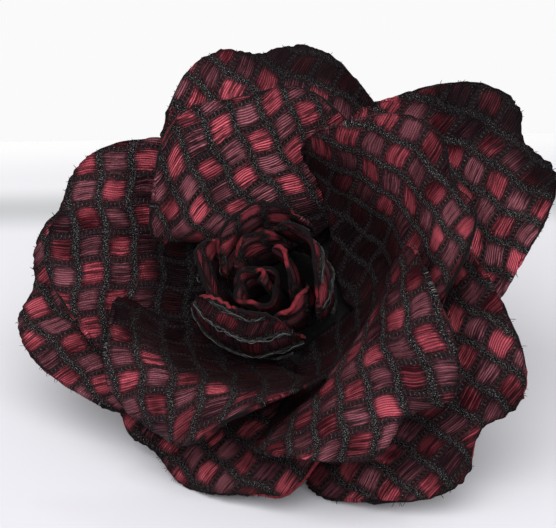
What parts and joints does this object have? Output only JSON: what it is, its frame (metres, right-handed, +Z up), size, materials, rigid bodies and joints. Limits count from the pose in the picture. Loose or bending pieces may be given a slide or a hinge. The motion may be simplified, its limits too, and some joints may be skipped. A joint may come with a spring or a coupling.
{
  "type": "flower lapel pin",
  "caption": "Fabric flower lapel pin: jacquard cloth petals in rings round a rolled bud, on a felt backing with a needle clasp.",
  "frame": {"origin": "on the surface it lies on, under the middle of the flower's box", "axes": "+Z up from the surface, +Y the way the picture's camera looks, +X to the right in the picture; the flower's own axis leans 43 degrees from +Z towards -Y and a little to -X"},
  "size_m": [0.081, 0.0614, 0.0515],
  "materials": {
    "jacquard": "woven black net with raised ribs and squares of wine-red and mauve satin",
    "wadding": "matte black wadding",
    "felt": "matte black felt",
    "steel": "plain nickel-coloured steel"
  },
  "bodies": {
    "root": {"outer_petal_top": "jacquard", "outer_petal_upper_right": "jacquard", "outer_petal_lower_right": "jacquard", "outer_petal_bottom": "jacquard", "outer_petal_left": "jacquard", "middle_petal_left": "jacquard", "middle_petal_bottom": "jacquard", "middle_petal_lower_right": "jacquard", "middle_petal_right": "jacquard", "middle_petal_top": "jacquard", "inner_petal_left": "jacquard", "inner_petal_bottom": "jacquard", "inner_petal_right": "jacquard", "inner_petal_top": "jacquard", "bud_petal_upper_right": "jacquard", "bud_petal_left": "jacquard", "bud_petal_lower_right": "jacquard", "bud_roll": "jacquard", "core": "wadding", "felt_back": "felt", "pin_clasp": "steel"}
  },
  "joints": []
}
